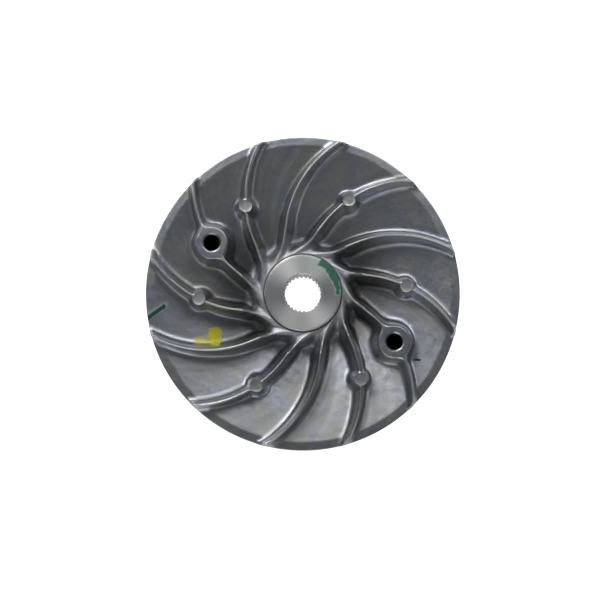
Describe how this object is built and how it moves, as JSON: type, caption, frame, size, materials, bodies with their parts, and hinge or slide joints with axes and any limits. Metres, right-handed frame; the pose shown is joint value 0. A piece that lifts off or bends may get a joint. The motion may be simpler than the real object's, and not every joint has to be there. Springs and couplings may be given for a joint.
{
  "type": "pulley fan disc",
  "caption": "Cast aluminium disc with curved cooling vanes on one side and a conical belt face on the other, set round a splined steel hub.",
  "frame": {"origin": "centre of the bore at the hub's rear face, the side that faces the engine", "axes": "+Z along the bore towards the vanes; +X through one of the two tool holes"},
  "size_m": [0.122, 0.122, 0.0212],
  "materials": {
    "cast_aluminium": "as cast on the fan side, satin grey with a fine grain; turned on the belt face",
    "turned_steel": "face-turned bright steel with fine concentric tool marks"
  },
  "bodies": {
    "root": {"fan_disc": "cast_aluminium", "splined_hub": "turned_steel"}
  },
  "joints": []
}
